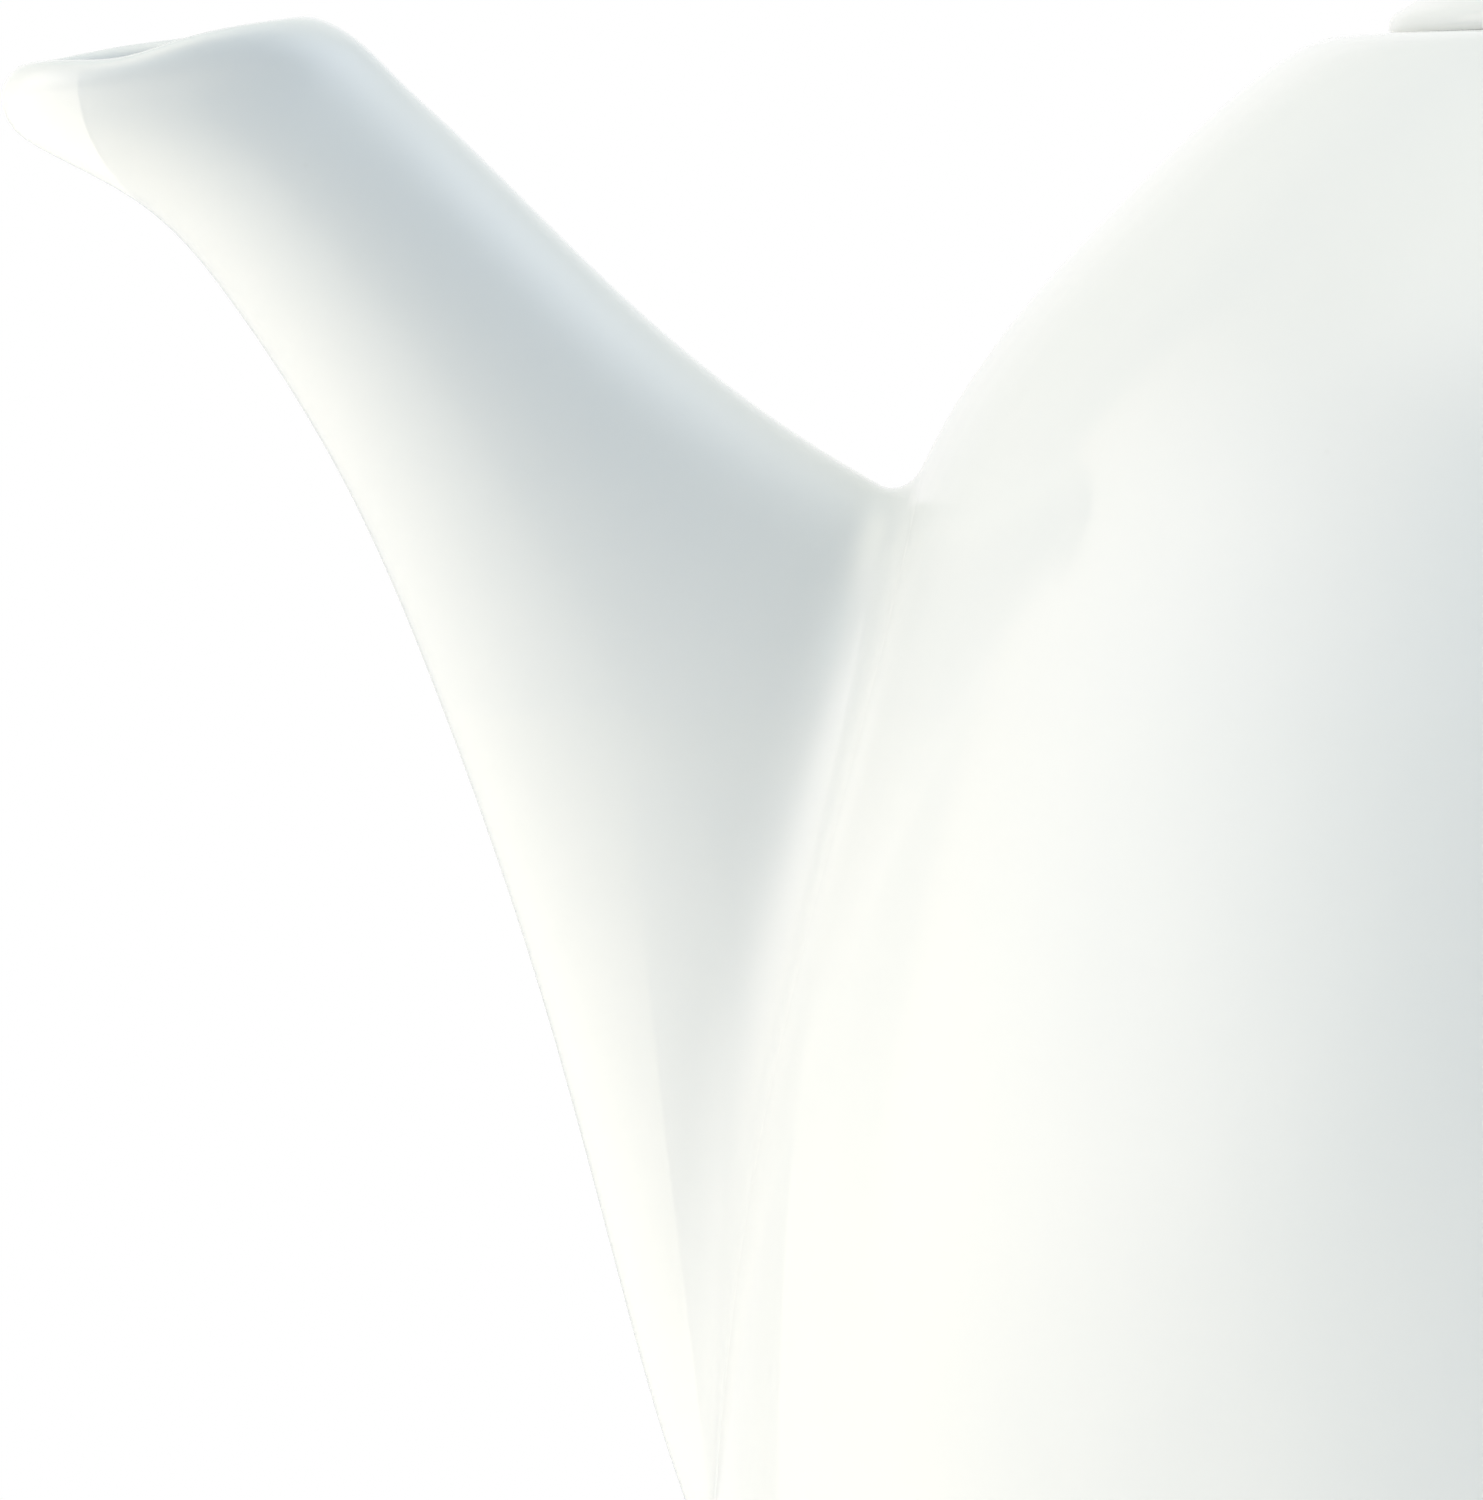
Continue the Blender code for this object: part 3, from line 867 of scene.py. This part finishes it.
def bare_material():
    """Fired clay without glaze, for the ring the pot stands on: matt, creamy and finely grained."""
    material, tree, shader = new_material("bare_porcelain")
    grain = noise(tree, CLAY_GRAIN, 4.0, 0.65)
    cloud = noise(tree, CLAY_CLOUDS, 3.0)
    shade = mixed(tree, ramp(tree, cloud, 0.3, 0.7, 0.0, 1.0), CLAY_DARK, CLAY_LIGHT)
    scuffed = mixed(tree, ramp(tree, grain, 0.62, 0.8, 0.0, 0.6), shade, CLAY_GRAINS)
    tree.links.new(scuffed, shader.inputs["Base Color"])
    gloss = ramp(tree, grain, 0.3, 0.7, *CLAY_ROUGHNESS)
    tree.links.new(gloss, shader.inputs["Roughness"])
    tree.links.new(bumped(tree, grain, *CLAY_BUMP), shader.inputs["Normal"])
    return material


def bare_foot(body):
    """Gives the underside of the foot ring its bare clay."""
    for face in body.data.polygons:
        face.material_index = int(face.center.z < BARE_HEIGHT * MM)


def make_pieces():
    """All five pieces, glazed apart from the ring the pot stands on."""
    glaze = glaze_material()
    body = make_body()
    for piece in (body, make_spout(), make_handle(), make_lid(), make_knob()):
        piece.data.materials.clear()
        piece.data.materials.append(glaze)
    body.data.materials.append(bare_material())
    bare_foot(body)


# White table, and a camera level with the upper half of the body, far off, that looks along +Y:
# metres, apart from the width and the centre of the view, which are in millimetres
FLOOR_RADIUS = 2.0
FLOOR_COLOUR = (0.9, 0.9, 0.9, 1.0)
FLOOR_ROUGHNESS = 0.6
VIEW_WIDTH = 85.27
VIEW_CENTRE = (-64.3, 126.95)
CAMERA_DISTANCE = 2.2
SENSOR_WIDTH = 36.0


def make_floor():
    bm = bmesh.new()
    bmesh.ops.create_circle(bm, cap_ends=True, radius=FLOOR_RADIUS, segments=128)
    mesh = bpy.data.meshes.new("floor")
    bm.to_mesh(mesh)
    bm.free()
    floor = bpy.data.objects.new("floor", mesh)
    bpy.context.collection.objects.link(floor)
    material, _, shader = new_material("floor")
    shader.inputs["Base Color"].default_value = FLOOR_COLOUR
    shader.inputs["Roughness"].default_value = FLOOR_ROUGHNESS
    mesh.materials.append(material)


def make_camera():
    """The photo's view; its width is that of the strip seen at the pot's plane of symmetry."""
    camera = bpy.data.cameras.new("camera")
    camera.sensor_width = SENSOR_WIDTH
    camera.sensor_fit = "HORIZONTAL"
    camera.lens = SENSOR_WIDTH * CAMERA_DISTANCE / (VIEW_WIDTH * MM)
    camera.clip_start = 0.1
    camera.clip_end = 20.0
    obj = bpy.data.objects.new("camera", camera)
    across, up = VIEW_CENTRE
    obj.location = (across * MM, -CAMERA_DISTANCE, up * MM)
    obj.rotation_euler = (math.pi / 2, 0.0, 0.0)
    bpy.context.collection.objects.link(obj)
    bpy.context.scene.camera = obj


# Point the soft panels face, near the spout's root
AIM = (-0.04, 0.0, 0.11)
# Soft panels: bearing from the camera's side (left is negative) and height in degrees, distance,
# width and height in metres, brightness, colour and, where it isn't half all round, the share of
# the size over which it fades in from the left, right, low and top edge
SOFTBOXES = {
    "left_key": (-85, 27, 1.5, 2.3, 2.0, 0.49, (1.0, 0.75, 0.52), (0.08, 0.5, 0.3, 0.4)),
    "left_wide": (-85, 25, 1.5, 2.6, 2.0, 1.42, (1.0, 0.98, 0.99)),
    "left_high": (-80, 60, 1.5, 1.4, 0.9, 0.64, (0.97, 0.87, 1.0)),
    "right": (97, 38, 1.5, 2.4, 1.8, 2.0, (0.87, 0.92, 1.0)),
    "front_high": (-40, 45, 1.5, 1.5, 1.2, 0.5, (0.7, 1.0, 0.98)),
    "top_rear": (180, 78, 1.5, 2.2, 2.2, 0.7, (1.0, 0.98, 0.89)),
    "top_left": (-90, 72, 1.5, 2.2, 2.0, 1.7, (1.0, 0.89, 0.64)),
}
# Glow of white cards on the table: centre, width, depth, turn in degrees, brightness and colour
REFLECTORS = {
    "card": (-0.36, -0.185, 0.8, 0.7, 60.0, 2.1, (1.0, 0.88, 0.73)),
    "far_card": (-0.535, -0.495, 1.2, 0.6, 45.0, 1.0, (1.0, 0.88, 0.5)),
}
REFLECTOR_HEIGHT = 0.004


def soft_edge(light, fades):
    """Fades a panel's brightness over a share of its size from each edge."""
    light.use_nodes = True
    tree = light.node_tree
    place = node(tree, "NewGeometry")
    split = node(tree, "SeparateXYZ")
    tree.links.new(place.outputs["Parametric"], split.inputs[0])
    left, right, low, top = fades
    edges = (("X", 0.0, left), ("X", 1.0, 1.0 - right), ("Y", 0.0, low), ("Y", 1.0, 1.0 - top))
    total = None
    for axis, dark, bright in edges:
        edge = ramp(tree, split.outputs[axis], dark, bright, 0.0, 1.0)
        total = math_node(tree, "MULTIPLY", total, edge) if total else edge
    tree.links.new(total, tree.nodes["Emission"].inputs["Strength"])


def make_panel(name, wide, tall, brightness, colour, fades=(0.5, 0.5, 0.5, 0.5)):
    """A glowing rectangle that the camera doesn't see, as bright as asked whatever its size."""
    light = bpy.data.lights.new(name, "AREA")
    light.shape = "RECTANGLE"
    light.size = wide
    light.size_y = tall
    light.energy = brightness * math.pi * wide * tall
    light.color = colour
    soft_edge(light, fades)
    obj = bpy.data.objects.new(name, light)
    obj.visible_camera = False
    bpy.context.collection.objects.link(obj)
    return obj


def make_softbox(name, bearing, height, distance, *look):
    """A panel that faces the pot from a bearing and a height."""
    bearing, height = math.radians(bearing), math.radians(height)
    flat = math.cos(height)
    away = Vector((math.sin(bearing) * flat, -math.cos(bearing) * flat, math.sin(height)))
    panel = make_panel(name, *look)
    panel.location = Vector(AIM) + away * distance
    panel.rotation_euler = away.to_track_quat("Z", "Y").to_euler()


def make_reflector(name, x, y, wide, deep, turn, *look):
    """The glow of a white card that lies on the table to the pot's left."""
    panel = make_panel(name, wide, deep, *look)
    panel.location = (x, y, REFLECTOR_HEIGHT)
    panel.rotation_euler = (math.pi, 0.0, math.radians(turn))
    panel.visible_glossy = False


# Colour of the surroundings against how far a direction points away from the camera: 1 is straight
# away, and from WORLD_FROM down the colour stays the same
WORLD_FROM = -0.2
WORLD_COLOURS = (
    (WORLD_FROM, (0.262, 0.342, 0.435)),
    (0.8, (0.79, 0.82, 0.80)),
    (0.97, (1.0, 1.0, 1.0)),
)


def make_world():
    """White where the camera sees it; elsewhere a cool fill that is brighter behind the pot."""
    world = bpy.data.worlds.new("world")
    bpy.context.scene.world = world
    world.use_nodes = True
    tree = world.node_tree
    room = tree.nodes["Background"]
    seen = node(tree, "Background")
    seen.inputs["Color"].default_value = (1.0, 1.0, 1.0, 1.0)
    place = node(tree, "TexCoord")
    split = node(tree, "SeparateXYZ")
    tree.links.new(place.outputs["Generated"], split.inputs[0])
    turn = node(tree, "MapRange")
    turn.inputs["From Min"].default_value = WORLD_FROM
    turn.inputs["From Max"].default_value = 1.0
    tree.links.new(split.outputs["Y"], turn.inputs["Value"])
    tint = node(tree, "ValToRGB")
    tint.color_ramp.interpolation = "EASE"
    stops = tint.color_ramp.elements
    while len(stops) < len(WORLD_COLOURS):
        stops.new(0.5)
    for stop, (at, colour) in zip(stops, WORLD_COLOURS):
        stop.position = (at - WORLD_FROM) / (1.0 - WORLD_FROM)
        stop.color = (*colour, 1.0)
    tree.links.new(turn.outputs[0], tint.inputs[0])
    tree.links.new(tint.outputs["Color"], room.inputs["Color"])
    path = node(tree, "LightPath")
    choice = node(tree, "MixShader")
    tree.links.new(path.outputs["Is Camera Ray"], choice.inputs[0])
    tree.links.new(room.outputs[0], choice.inputs[1])
    tree.links.new(seen.outputs[0], choice.inputs[2])
    tree.links.new(choice.outputs[0], tree.nodes["World Output"].inputs["Surface"])


def make_lights():
    make_world()
    for name, settings in REFLECTORS.items():
        make_reflector(name, *settings)
    for name, settings in SOFTBOXES.items():
        make_softbox(name, *settings)


make_pieces()
make_floor()
make_camera()
make_lights()
bpy.context.scene.view_settings.view_transform = "Standard"
